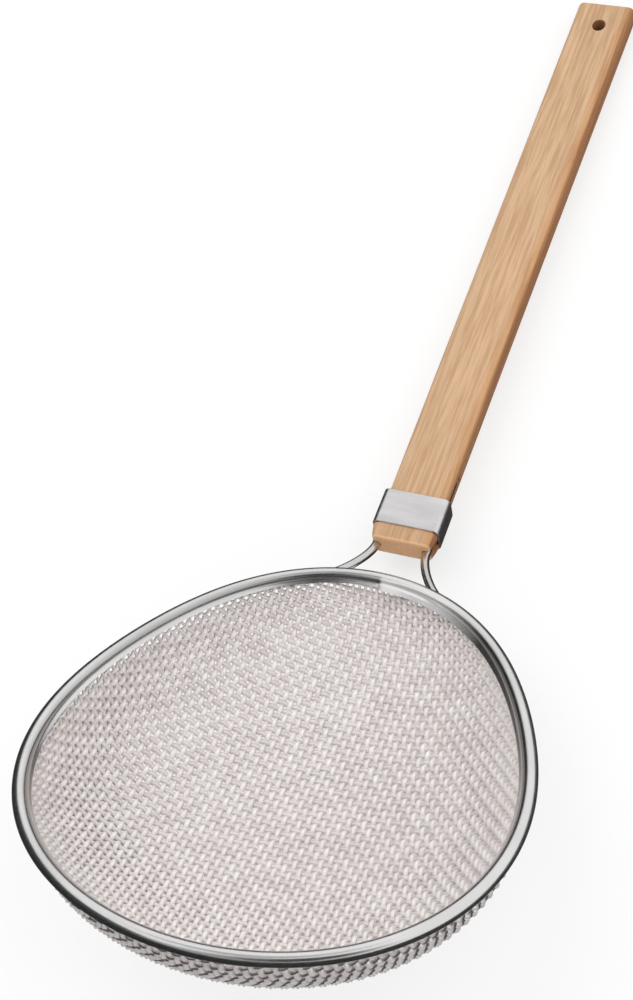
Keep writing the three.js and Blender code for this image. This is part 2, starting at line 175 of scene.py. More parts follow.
class TangSizes(bpy.types.PropertyGroup):
    """The two bent wires between rim and handle."""

    wire: size("Wire", 0.002, "Radius of the wire, whose outer side is flush with the wood's narrow side")
    above: size("Above", 0.016, "How far it runs in its groove above the ferrule")
    peg: size("Peg", 0.005, "End bent square into the wood")
    outset: size("Outset", 0.0008, "Outward of the bead's middle, under the bead")
    gap: size("Gap", 0.0003, "Between the wire and the bead above it")
    meets: angle("Meets", 20, "Where it comes under the bead, from the handle")
    leaves: angle("Leaves", 34, "Where it ends under the bead")
    pull_handle: size("Pull at handle", 0.0059, "Straightness of the bend next to the handle")
    pull_rim: size("Pull at rim", 0.0215, "Straightness of the bend next to the rim")
    sides: count("Sides", 16, "Corners of the wire's section")


class Finishes(bpy.types.PropertyGroup):
    """Colours of the materials."""

    # The wires both ways are one steel: the lengthwise tone is paler as painted highlight and the crosswise
    # tone darker as painted shade, for the light that the lengthwise wires catch
    mesh: colour("Mesh wire", (0.98, 0.92, 0.905), "Bright, faintly warm wire along the handle")
    mesh_cross_painted_shade: colour("Cross wire", (0.82, 0.76, 0.745), "Duller wire across")
    rim: colour("Rim", (0.75, 0.745, 0.74), "Polished strip")
    tang: colour("Tangs", (0.66, 0.65, 0.64), "Drawn wire")
    ferrule: colour("Ferrule", (0.72, 0.705, 0.705), "Satin sheet")
    wood_light: colour("Wood, light", (0.68, 0.443, 0.264), "Pale wood between the grain lines")
    wood_dark: colour("Wood, dark", (0.47, 0.262, 0.126), "Grain lines")
    # Painted shade: the right edge of the wood is made redder and darker, and its right narrow side darker,
    # where less light falls
    wood_edge_painted_shade: colour("Wood edge", (0.92, 0.78, 0.64), "Redder wood along the right edge, times the wood")
    wood_side_painted_shade: colour("Wood side", (0.66, 0.55, 0.47), "Darker right narrow side, times the wood")
    # Painted light: the end below the sleeve is made paler, where the lamps light it little
    wood_end_painted_light: FloatVectorProperty(
        name="Wood end", description="Paler end below the sleeve, times the wood",
        default=(1.48, 1.36, 1.26), size=3,
    )
    # Painted shade: the stub just below the sleeve is darkened
    wood_stub_painted_shade: colour("Wood stub", (0.9, 0.88, 0.85), "Darker wood below the sleeve, times the wood")
    # Painted shade: the wall of the hole is darkened
    wood_hole_painted_shade: colour("Wood hole", (0.5, 0.38, 0.3), "Darkened wall of the hole, times the wood")
    floor: colour("Floor", (0.97, 0.97, 0.97), "Studio floor")


class StageSizes(bpy.types.PropertyGroup):
    """Floor, lamps and camera. The camera's place is in the rim's frame."""

    camera_at: FloatVectorProperty(
        name="Camera", description="Camera in the rim's frame", default=(0.23092, -0.50468, 0.5371),
        subtype="TRANSLATION", unit="LENGTH",
    )
    camera_turn: FloatVectorProperty(
        name="Camera turn", description="Turn of the camera in the rim's frame",
        default=tuple(np.radians((53.274, 2.164, 21.207))), subtype="EULER",
    )
    lens: FloatProperty(name="Lens", description="Focal length for a frame 36 mm high", default=68.943)
    frame_height: FloatProperty(name="Film", description="Height of the film in mm", default=36.0)
    floor: size("Floor", 6.0, "Side of the floor")
    floor_white: share("Floor white", 0.7, "Share of plain white in the floor as the eye sees it")
    cards: size("Cards", 1.1, "Distance of the cards and the screen")
    cards_hole: size("Cards hole", 0.112, "Radius of the opening in the cards under the bowl")
    cards_rise: angle("Cards rise", 6, "How high the dark cards reach behind the tool and at its right")
    cards_left: angle("Cards left", 46, "How high they reach at its left")
    cards_front: angle("Cards front", 42, "How high they reach on the camera's side")
    camera_disc: size("Camera disc", 0.26, "Radius of the dark round the camera")
    screen_low: angle("Screen low", 40, "Where the grey screen above the camera begins")
    screen_top: angle("Screen top", 116, "How far it reaches, past the point overhead")
    screen_left: angle("Screen left", 36, "How far that screen reaches to the left of the front")
    screen_right: angle("Screen right", 75, "How far it reaches to the right")
    screen_grey: share("Screen grey", 0.42, "Lightness of that screen")
    lamp_size: size("Lamp size", 1.4, "Side of each soft lamp")
    left_power: power("Left", 10.6, "Power of the left lamp")
    right_power: power("Right", 9.0, "Power of the right lamp")
    front_power: power("Front", 6.0, "Power of the front lamp")
    sky: share("Sky", 0.55, "Strength of the even light from all round")


class SkimmerSettings(bpy.types.PropertyGroup):
    """All settings of the skimmer."""

    rim: PointerProperty(type=RimSizes)
    bowl: PointerProperty(type=BowlSizes)
    handle: PointerProperty(type=HandleSizes)
    tang: PointerProperty(type=TangSizes)
    finish: PointerProperty(type=Finishes)
    stage: PointerProperty(type=StageSizes)


# Frames

def turn_about_x(radians):
    """Rotation matrix about the X axis."""
    c, s = np.cos(radians), np.sin(radians)
    return np.array(((1.0, 0.0, 0.0), (0.0, c, -s), (0.0, s, c)))


def handle_slope():
    """Slope of the handle above the floor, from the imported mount's axis, which is square to its face."""
    _, ahead, up = GRIP_MOUNT["axis"]
    return -np.arctan2(ahead, up)


def handle_place(handle):
    """Turn and origin of the handle's frame: +Y along it from the sleeve's lower edge, +Z off its face."""
    turn = turn_about_x(handle_slope())
    grip = np.array((0.0, handle.grip_at, handle.thick / 2))
    return turn, np.array(GRIP_MOUNT["pos_m"]) - turn @ grip


def rim_place(handle):
    """Turn and origin of the rim's frame: the rim in z = 0 about the origin, the handle toward +Y."""
    _, origin = handle_place(handle)
    turn = turn_about_x(handle_slope() - handle.rise)
    return turn, origin - turn @ np.array((0.0, handle.ahead, -handle.drop))


def put(points, place):
    """Points of a piece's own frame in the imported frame."""
    turn, origin = place
    return np.asarray(points) @ turn.T + origin


def between(points, source, target):
    """Points of one frame, seen in another."""
    turn, origin = target
    return (put(points, source) - origin) @ turn


# Meshes

def grid_quads(rows, columns, close_rows=False, close_columns=False):
    """Faces of a grid of rows x columns points, each a loop of four point numbers."""
    numbers = np.arange(rows * columns).reshape(rows, columns)
    if close_rows:
        numbers = np.vstack((numbers, numbers[:1]))
    if close_columns:
        numbers = np.hstack((numbers, numbers[:, :1]))
    corners = (numbers[:-1, :-1], numbers[:-1, 1:], numbers[1:, 1:], numbers[1:, :-1])
    return np.stack(corners, -1).reshape(-1, 4)


def outward(points, quads):
    """The faces, turned round if the shape they close has a negative volume."""
    about = points - points.mean(0)
    a, b, c, d = (about[quads[:, k]] for k in range(4))
    volume = np.einsum("ij,ij->", a, np.cross(b, c)) + np.einsum("ij,ij->", a, np.cross(c, d))
    return quads if volume > 0 else quads[:, ::-1]


def placed(name, data):
    """A new object in the scene."""
    item = bpy.data.objects.new(name, data)
    bpy.context.scene.collection.objects.link(item)
    return item


def new_object(name, points, faces, sharp_angle=None):
    """A smooth-shaded mesh object whose edges are sharp past an angle."""
    mesh = bpy.data.meshes.new(name)
    mesh.from_pydata(np.asarray(points).tolist(), [], faces)
    if mesh.validate():
        raise RuntimeError(f"{name} has faces that do not hold")
    mesh.shade_smooth()
    if sharp_angle is not None:
        mesh.set_sharp_from_angle(angle=sharp_angle)
    return placed(name, mesh)


def ring_object(name, sections, sharp_angle=None):
    """A closed ring: sections[k] is the loop of points at step k round it."""
    rows, columns, _ = sections.shape
    points = sections.reshape(-1, 3)
    quads = outward(points, grid_quads(rows, columns, close_rows=True, close_columns=True))
    return new_object(name, points, quads.tolist(), sharp_angle)


def bar_faces(points, rows, columns, first=0):
    """Faces of a closed bar of rows x columns points: its skin and its two flat ends."""
    skin = grid_quads(rows, columns, close_columns=True)
    ends = [np.arange(columns)[::-1], np.arange(columns) + (rows - 1) * columns]
    turned = outward(points, skin)
    flip = 1 if turned is skin else -1
    return (turned + first).tolist() + [(end[::flip] + first).tolist() for end in ends]


def bar_object(name, sections, sharp_angle=None):
    """A closed bar: sections[k] is the loop of points at step k along it, with flat ends."""
    rows, columns, _ = sections.shape
    points = sections.reshape(-1, 3)
    return new_object(name, points, bar_faces(points, rows, columns), sharp_angle)


def unit(vectors):
    """Vectors of length one."""
    return vectors / np.linalg.norm(vectors, axis=-1, keepdims=True)


def cubic(knots, t):
    """Points of a curve: (1 - t)^3 a + 3 t (1 - t)^2 b + 3 t^2 (1 - t) c + t^3 d."""
    t = t[:, None]
    weights = ((1 - t) ** 3, 3 * t * (1 - t) ** 2, 3 * t ** 2 * (1 - t), t ** 3)
    return sum(weight * knot for weight, knot in zip(weights, knots))


def along_y(loops, places):
    """Sections of a bar along Y: each loop of (x, z) points at its own place."""
    return np.stack([np.insert(loop, 1, place, axis=1) for loop, place in zip(loops, places)])


def there_and_back(values):
    """Values along the outer side of a strip and back along its inner side."""
    return np.concatenate((values, values[::-1]))


def tube_sections(path, side, radius, sides):
    """Round sections on a path: p + radius (cos a n + sin a b), with b square to the path and to side."""
    along = unit(np.gradient(path, axis=0))
    across = unit(np.cross(along, side))
    upright = np.cross(across, along)
    turns = np.arange(sides) * FULL_TURN / sides
    ring = np.cos(turns)[:, None] * upright[:, None] + np.sin(turns)[:, None] * across[:, None]
    return path[:, None] + radius * ring


def mark_points(piece, name, values):
    """Gives each point of a piece a number that its material reads."""
    layer = piece.data.attributes.new(name, "FLOAT", "POINT")
    layer.data.foreach_set("value", np.ascontiguousarray(values, dtype=np.float32).ravel())


def finished(piece, material, slot, *nodes):
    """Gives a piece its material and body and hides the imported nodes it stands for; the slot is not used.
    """
    piece.data.materials.clear()
    piece.data.materials.append(material)
    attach(piece, BODY)
    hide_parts(*nodes)
    return piece


# Rim line and bowl surface

def rim_line(rim, turn, outset=0.0, up=0.0):
    """Points beside the bead's centre line r(t), with t clockwise from the handle, offset square to it."""
    radius = (
        rim.radius + rim.lengthen * np.cos(2 * turn)
        + rim.point * np.cos(3 * turn) + rim.square * np.cos(4 * turn)
    )
    slope = -(
        2 * rim.lengthen * np.sin(2 * turn)
        + 3 * rim.point * np.sin(3 * turn) + 4 * rim.square * np.sin(4 * turn)
    )
    ahead_x = slope * np.sin(turn) + radius * np.cos(turn)
    ahead_y = slope * np.cos(turn) - radius * np.sin(turn)
    length = np.hypot(ahead_x, ahead_y)
    x = radius * np.sin(turn) - outset * ahead_y / length
    y = radius * np.cos(turn) + outset * ahead_x / length
    return np.stack(np.broadcast_arrays(x, y, up), -1)


def bowl_profile(rim, bowl):
    """The bowl from bottom to hem: share sin(a)^(2/fullness), height top - drop cos(a), and lengths."""
    turns = np.linspace(0, QUARTER_TURN, 400)
    wall = rim.radius - bowl.hem
    top = -bowl.hem_height / 2
    shares = np.sin(turns) ** (2 / bowl.fullness)
    heights = top - (bowl.depth + top) * np.cos(turns)
    pieces = np.hypot(wall * np.diff(shares), np.diff(heights))
    lengths = np.concatenate(([0.0], np.cumsum(pieces)))
    return shares, heights, lengths, lengths[-1] / wall


def cloth_reach(rim, bowl, across, along, stretch):
    """Length of cloth from the bottom to the hem, in the direction of a point."""
    edge = rim_line(rim, np.arctan2(across, along), -bowl.hem)
    return np.hypot(edge[..., 0], edge[..., 1]) * stretch


def on_bowl(rim, bowl, profile, across, along):
    """Lays points of the flat cloth on the bowl, keeping their distance from the middle along the wall."""
    shares, heights, lengths, stretch = profile
    part = np.hypot(across, along) / cloth_reach(rim, bowl, across, along, stretch)
    length = part * lengths[-1]
    edge = rim_line(rim, np.arctan2(across, along), -bowl.hem)
    points = edge * np.interp(length, lengths, shares)[..., None]
    points[..., 2] = np.interp(length, lengths, heights) + np.maximum(length - lengths[-1], 0)
    return points


def inward_of(rim, bowl, profile, across, along):
    """Unit normals of the bowl, pointing into it, from small steps across and along the cloth."""
    step = bowl.wire / 4
    aside, ahead = (
        on_bowl(rim, bowl, profile, across + x, along + y)
        - on_bowl(rim, bowl, profile, across - x, along - y)
        for x, y in ((step, 0), (0, step))
    )
    return unit(np.cross(aside, ahead))


def woven_wires(rim, bowl, lengthwise):
    """Paths, normals and thickness of the wires one way, over and under by height cos(pi s / pitch)."""
    profile = bowl_profile(rim, bowl)
    own, other = bowl.pitch_across, bowl.pitch_along
    if not lengthwise:
        own, other = other, own
    reach = cloth_reach(rim, bowl, 0.0, 1.0, profile[3])
    wires = np.arange(-int(reach / own) - 1, int(reach / own) + 2)
    furthest = bowl.samples * int(reach / other + 2)
    steps = np.arange(-furthest, furthest + 1)
    place, travel = np.meshgrid((wires + 0.5) * own, steps * other / bowl.samples, indexing="ij")
    across, along = (place, travel) if lengthwise else (travel, place)
    room = cloth_reach(rim, bowl, across, along, profile[3]) - np.hypot(across, along)
    wave = np.cos(HALF_TURN * (travel / other - 0.5) + HALF_TURN * wires[:, None])
    flat = np.clip((room - bowl.hem_flat) / bowl.press, 0, 1)
    taken = bowl.crimp if lengthwise else 1 - bowl.crimp
    height = bowl.settle * (bowl.wire + bowl.cross_wire) / 2 * taken
    lift = wave * height * (bowl.pressed + (1 - bowl.pressed) * flat)
    thick = bowl.thinned + (1 - bowl.thinned) * flat
    inward = inward_of(rim, bowl, profile, across, along)
    centres = on_bowl(rim, bowl, profile, across, along)
    paths = centres + inward * (lift if lengthwise else -lift)[..., None]
    shown = room > -bowl.tuck
    for path, normal, part, kept in zip(paths, inward, thick, shown):
        if kept.sum() > bowl.samples:
            yield path[kept], normal[kept], part[kept]


def wires_object(name, wires, radius, sides, place):
    """One mesh of many round wires."""
    points, faces, first = [], [], 0
    for path, normal, part in wires:
        sections = put(tube_sections(path, normal, radius * part[:, None, None], sides), place)
        flat = sections.reshape(-1, 3)
        faces += bar_faces(flat, len(path), sides, first)
        points.append(flat)
        first += len(flat)
    return new_object(name, np.concatenate(points), faces)


# Sections

def rounded_loop(width, thick, edge, inset=0.0, corner_steps=8, support=0.0006):
    """Loop of a rounded rectangle, counter-clockwise, with points beside each rounding."""
    radius = edge - inset
    half = np.array((width, thick)) / 2 - edge
    turns = np.linspace(0, QUARTER_TURN, corner_steps + 1)
    arc = radius * np.stack((np.cos(turns), np.sin(turns)), -1)
    before = arc[:1] + (0.0, -support)
    after = arc[-1:] + (-support, 0.0)
    corner = np.concatenate((before, arc, after))
    loop = []
    for quarter, sign in enumerate(((1, 1), (-1, 1), (-1, -1), (1, -1))):
        c, s = np.cos(quarter * QUARTER_TURN), np.sin(quarter * QUARTER_TURN)
        loop.append(corner @ np.array(((c, s), (-s, c))) + half * sign)
    return np.concatenate(loop)


def round_cut(radius, half_length, flare, sides=48):
    """Sections of a cutter for a hole whose mouths are rounded: r = radius + flare (1 - cos a)."""
    turns = np.linspace(0, QUARTER_TURN, 7)
    mouth = radius + flare * (1 - np.cos(turns))
    depth = half_length - flare + flare * np.sin(turns)
    radii = np.concatenate((mouth[-1:], mouth[::-1], mouth, mouth[-1:]))
    heights = np.concatenate(([-half_length - flare], -depth[::-1], depth, [half_length + flare]))
    around = np.arange(sides) * FULL_TURN / sides
    x = radii[:, None] * np.cos(around)
    y = radii[:, None] * np.sin(around)
    return np.stack((x, y, np.broadcast_to(heights[:, None], x.shape)), -1)


def cut_away(piece, *cutters):
    """Takes the cutters' solids out of a piece and removes them."""
    for cutter in cutters:
        step = piece.modifiers.new("Cut", "BOOLEAN")
        step.object = cutter
        step.solver = "EXACT"
    graph = bpy.context.evaluated_depsgraph_get()
    cut = bpy.data.meshes.new_from_object(piece.evaluated_get(graph))
    piece.modifiers.clear()
    whole = piece.data
    piece.data = cut
    bpy.data.meshes.remove(whole)
    cut.name = piece.name
    for cutter in cutters:
        solid = cutter.data
        bpy.data.objects.remove(cutter)
        bpy.data.meshes.remove(solid)
    return piece


# Materials

# Of each steel: range of roughness, stretch of its marks, scale of streaks and of clouds, strength of bump
MESH_FINISH = ((0.28, 0.42), (1, 1, 1), 900.0, 140.0, 0.05)
RIM_FINISH = ((0.2, 0.3), (1, 1, 1), 260.0, 25.0, 0.03)
TANG_FINISH = ((0.16, 0.3), (1, 0.2, 1), 700.0, 60.0, 0.08)
SLEEVE_FINISH = ((0.3, 0.42), (0.2, 1, 1), 1500.0, 260.0, 0.1)
# How metallic the wires are outside and inside the bowl, and the overlapping end of the strip
OUTER_SHINE = {"lengthwise": 0.5, "crosswise": 1.0}
INNER_SHINE = 0.26
LAP_SHINE = 0.45
# Painted shade and painted reflection on the rim: how far the strip's colour is darkened beside the lip,
# and the near black it is darkened toward
PAINTED_SHADE_STRENGTH = 0.92
PAINTED_SHADE_TONE = (0.012, 0.011, 0.01, 1.0)
# Where the wood's painted shade lies, on its right edge and right narrow side as shares of its width across
# it, and on the stub as lengths from the sleeve
EDGE_BAND = (0.32, 0.44)
SIDE_BAND = (0.47, 0.5)
STUB_BAND = (0.001, -0.0005)
# The end below the sleeve: how far it is evened toward a plain tone, and that tone as a share of the light
# wood; it is then made paler as painted light
END_EVEN = 0.68
END_TONE = 0.78
GRAIN_STRETCH = (1.0, 0.02, 1.0)
GRAIN_STRENGTH = 0.62


def feed(tree, socket, value):
    """Links a socket's value to an input, or sets a plain value on it."""
    if isinstance(value, bpy.types.NodeSocket):
        tree.links.new(value, socket)
    else:
        socket.default_value = value


def add_node(tree, kind, **inputs):
    """A node with the named inputs set or linked."""
    node = tree.nodes.new(kind)
    for name, value in inputs.items():
        feed(tree, node.inputs[name.replace("_", " ")], value)
    return node


def maths(tree, operation, *values):
    """The result of an operation on numbers or sockets."""
    node = tree.nodes.new("ShaderNodeMath")
    node.operation = operation
    for socket, value in zip(node.inputs, values):
        feed(tree, socket, value)
    return node.outputs[0]


def blended(tree, base, tone, factor, kind="MIX"):
    """A colour mixed with a tone, or multiplied by it, as far as the factor says."""
    node = tree.nodes.new("ShaderNodeMix")
    node.data_type = "RGBA"
    node.blend_type = kind
    for name, value in (("Factor", factor), ("A", base), ("B", tone)):
        feed(tree, node.inputs[name], value)
    return node.outputs["Result"]


def mixed_shader(tree, part, first, second):
    """The first shader where the part is 0 and the second where it is 1."""
    node = tree.nodes.new("ShaderNodeMixShader")
    for socket, value in zip(node.inputs, (part, first.outputs[0], second.outputs[0])):
        tree.links.new(value, socket)
    return node.outputs[0]


def ramp(tree, value, stops):
    """A colour ramp from (position, linear colour) stops."""
    node = add_node(tree, "ShaderNodeValToRGB", Fac=value)
    row = node.color_ramp.elements
    while len(row) < len(stops):
        row.new(0.5)
    for element, (position, tone) in zip(row, stops):
        element.position = position
        element.color = (*tone, 1.0)
    return node.outputs["Color"]


def scaled(tone, factor):
    """A colour made lighter or darker."""
    return tuple(min(channel * factor, 1.0) for channel in tone)


def marks_group():
    """Shared group: long fine streaks and broad clouds that vary the finish of a metal or wood surface."""
    if "Surface marks" in bpy.data.node_groups:
        return bpy.data.node_groups["Surface marks"]
    tree = bpy.data.node_groups.new("Surface marks", "ShaderNodeTree")
    for name, kind in (("Vector", "NodeSocketVector"), ("Streak Scale", "NodeSocketFloat"),
                       ("Cloud Scale", "NodeSocketFloat")):
        tree.interface.new_socket(name=name, in_out="INPUT", socket_type=kind)
    for name in ("Streaks", "Clouds"):
        tree.interface.new_socket(name=name, in_out="OUTPUT", socket_type="NodeSocketFloat")
    given = tree.nodes.new("NodeGroupInput")
    result = tree.nodes.new("NodeGroupOutput")
    streaks = add_node(tree, "ShaderNodeTexNoise", Vector=given.outputs["Vector"],
                       Scale=given.outputs["Streak Scale"], Detail=4.0, Roughness=0.6)
    clouds = add_node(tree, "ShaderNodeTexNoise", Vector=given.outputs["Vector"],
                      Scale=given.outputs["Cloud Scale"], Detail=2.0, Roughness=0.5)
    tree.links.new(streaks.outputs["Fac"], result.inputs["Streaks"])
    tree.links.new(clouds.outputs["Fac"], result.inputs["Clouds"])
    return tree


def marks(tree, stretch, streak_scale, cloud_scale, turn=(0.0, 0.0, 0.0)):
    """Streaks and clouds in object space, drawn out by stretch along each axis after a turn."""
    where = tree.nodes.new("ShaderNodeTexCoord").outputs["Object"]
    mapped = add_node(tree, "ShaderNodeMapping", Vector=where, Rotation=turn, Scale=stretch)
    node = tree.nodes.new("ShaderNodeGroup")
    node.node_tree = marks_group()
    tree.links.new(mapped.outputs["Vector"], node.inputs["Vector"])
    node.inputs["Streak Scale"].default_value = streak_scale
    node.inputs["Cloud Scale"].default_value = cloud_scale
    return node.outputs["Streaks"], node.outputs["Clouds"]


def new_material(name):
    """A material with its node tree and its shader."""
    material = bpy.data.materials.new(name)
    material.use_nodes = True
    return material, material.node_tree, material.node_tree.nodes["Principled BSDF"]


def seen_directly(tree):
    """1 for what the eye sees, straight, reflected or through glass, and 0 for light on other things."""
    rays = tree.nodes.new("ShaderNodeLightPath").outputs
    reflected = maths(tree, "MAXIMUM", rays["Is Camera Ray"], rays["Is Glossy Ray"])
    return maths(tree, "MAXIMUM", reflected, rays["Is Transmission Ray"])


def spread(tree, value, low, high):
    """A value from 0 to 1 mapped to a range."""
    node = add_node(tree, "ShaderNodeMapRange", Value=value, To_Min=low, To_Max=high)
    return node.outputs["Result"]


def bumped(tree, shader, height, strength, distance):
    """Links a height to the shader's normal."""
    node = add_node(tree, "ShaderNodeBump", Height=height, Strength=strength, Distance=distance)
    tree.links.new(node.outputs["Normal"], shader.inputs["Normal"])


def steel(name, tone, rough, stretch, streak_scale, cloud_scale, bump):
    """Steel whose colour follows broad clouds and whose roughness and bump follow fine streaks."""
    material, tree, shader = new_material(name)
    streaks, clouds = marks(tree, stretch, streak_scale, cloud_scale)
    tones = ((0.3, scaled(tone, 0.9)), (0.7, scaled(tone, 1.06)))
    tree.links.new(ramp(tree, clouds, tones), shader.inputs["Base Color"])
    tree.links.new(spread(tree, streaks, *rough), shader.inputs["Roughness"])
    shader.inputs["Metallic"].default_value = 1.0
    bumped(tree, shader, streaks, bump, 0.0002)
    return material


def point_mark(material, name):
    """The number that each point of a piece carries under a name."""
    node = material.node_tree.nodes.new("ShaderNodeAttribute")
    node.attribute_name = name
    return node.outputs["Fac"]


def dulled(material, name, bright, dull):
    """Makes a steel less like a mirror where the points' number is 1."""
    tree = material.node_tree
    share_of = spread(tree, point_mark(material, name), bright, dull)
    tree.links.new(share_of, tree.nodes["Principled BSDF"].inputs["Metallic"])


def paint_shade(material, name, strength):
    """Paints shade into a material's colour, darkening it where the points' number is 1."""
    tree = material.node_tree
    base = tree.nodes["Principled BSDF"].inputs["Base Color"]
    factor = spread(tree, point_mark(material, name), 0.0, strength)
    tree.links.new(blended(tree, base.links[0].from_socket, PAINTED_SHADE_TONE, factor), base)


def band(tree, value, start, end):
    """0 up to the start, 1 past the end and even between them."""
    node = add_node(tree, "ShaderNodeMapRange", Value=value, From_Min=start, From_Max=end)
    return node.outputs["Result"]


def tinted(tree, base, factor, tone):
    """A colour multiplied by a tone where the factor is 1."""
    return blended(tree, base, (*tone, 1.0), factor, "MULTIPLY")


def paint_wood_light_and_shade(tree, base, handle, finish):
    """Wood with painted shade, redder and darker along its right edge and darker on its right narrow side,
    on the stub below the sleeve and in the hole, and painted light on the end below the sleeve, which is
    paler and evened toward a plain tone.
    """
    turn, origin = handle_place(handle)
    where = tree.nodes.new("ShaderNodeTexCoord").outputs["Object"]
    own = add_node(tree, "ShaderNodeMapping", Vector=where, Rotation=(-handle_slope(), 0.0, 0.0),
                   Location=(-(origin @ turn)).tolist())
    across, along, _ = add_node(tree, "ShaderNodeSeparateXYZ", Vector=own.outputs["Vector"]).outputs
    # Painted shade along the right edge and on the right narrow side
    for (start, full), tone in ((EDGE_BAND, finish.wood_edge_painted_shade), (SIDE_BAND, finish.wood_side_painted_shade)):
        base = tinted(tree, base, band(tree, across, start * handle.width, full * handle.width), tone)
    # Painted shade on the stub below the sleeve
    base = tinted(tree, base, band(tree, along, *STUB_BAND), finish.wood_stub_painted_shade)
    # Painted light on the end below the sleeve: evened toward a plain tone, then made paler
    end = handle.end_edge - handle.stub
    face = band(tree, along, end, end - 0.5 * handle.end_edge)
    plain = (*scaled(finish.wood_light, END_TONE), 1.0)
    even = blended(tree, base, plain, spread(tree, face, 0.0, END_EVEN))
    base = tinted(tree, even, face, finish.wood_end_painted_light)
    # Painted shade on the hole's wall
    middle = (handle.hole_inset + handle.stub - handle.length) / handle.hole_oval
    back = maths(tree, "MULTIPLY_ADD", along, 1 / handle.hole_oval, middle)
    flat = add_node(tree, "ShaderNodeCombineXYZ", X=across, Y=back)
    far = add_node(tree, "ShaderNodeVectorMath", Vector=flat.outputs[0])
    far.operation = "LENGTH"
    mouth = handle.hole + handle.hole_edge
    return tinted(tree, base, band(tree, far.outputs["Value"], mouth, handle.hole), finish.wood_hole_painted_shade)


def wood(finish, handle):
    """Pale straight-grained wood: broad tone, grain lines and fine fibres along the handle."""
    material, tree, shader = new_material("pale wood")
    turn = (-handle_slope(), 0.0, 0.0)
    lines, tone = marks(tree, GRAIN_STRETCH, 620.0, 75.0, turn)
    fibres, patches = marks(tree, GRAIN_STRETCH, 2400.0, 150.0, turn)
    light, dark = finish.wood_light, finish.wood_dark
    broad = ramp(tree, tone, ((0.32, scaled(light, 1.07)), (0.55, light), (0.74, scaled(light, 0.88))))
    grain = ramp(tree, lines, ((0.42, (0.0, 0.0, 0.0)), (0.6, (1.0, 1.0, 1.0))))
    lined = blended(tree, broad, (*dark, 1.0), spread(tree, grain, 0.0, GRAIN_STRENGTH))
    shade = ramp(tree, fibres, ((0.3, (0.9, 0.89, 0.88)), (0.7, (1.0, 1.0, 1.0))))
    fine = blended(tree, lined, shade, 1.0, "MULTIPLY")
    tree.links.new(paint_wood_light_and_shade(tree, fine, handle, finish), shader.inputs["Base Color"])
    tree.links.new(spread(tree, patches, 0.5, 0.64), shader.inputs["Roughness"])
    bumped(tree, shader, fibres, 0.25, 0.0003)
    return material


# Pieces

# Sections of the handle: beside its rounded ends, of its stub from the sleeve's edge, and of its plain part
BESIDE = 0.0008
STUB_STEPS = (-0.005, -0.0036, -0.0022, -0.0008, -0.0004, 0.0, 0.001)
PLAIN_FROM = 0.03
SWELL_STARTS = 0.0004
SHARP_UP_TO = 0.002
# Room round a tang in its groove, and how far a groove's cutter reaches past the wood
GROOVE_ROOM = 0.0002
CUT_PAST = 0.005


class SKIMMER_OT_mesh(bpy.types.Operator):
    """Weaves the bowl from round wires that pass over and under each other"""

    bl_idname = "skimmer.mesh"
    bl_label = "Woven bowl"

    def execute(self, context):
        settings = context.scene.skimmer
        rim, bowl = settings.rim, settings.bowl
        place = rim_place(settings.handle)
        finish = settings.finish
        inner = (1 + np.cos(np.arange(bowl.sides) * FULL_TURN / bowl.sides)) / 2
        # The two ways of wire differ in tone only as painted highlight and painted shade
        kinds = (("lengthwise", bowl.wire, finish.mesh), ("crosswise", bowl.cross_wire, finish.mesh_cross_painted_shade))
        for way, diameter, tone in kinds:
            material = steel(f"{way} wire", tone, *MESH_FINISH)
            dulled(material, "inner", OUTER_SHINE[way], INNER_SHINE)
            wires = list(woven_wires(rim, bowl, way == "lengthwise"))
            middle = len(wires) // 2
            for side, group in (("a", wires[:middle]), ("b", wires[middle:])):
                piece = wires_object(f"mesh_{way}_{side}", group, diameter / 2, bowl.sides, place)
                mark_points(piece, "inner", np.tile(inner, len(piece.data.vertices) // bowl.sides))
                finished(piece, material, "mesh_steel", "mesh_bowl")
        return {"FINISHED"}


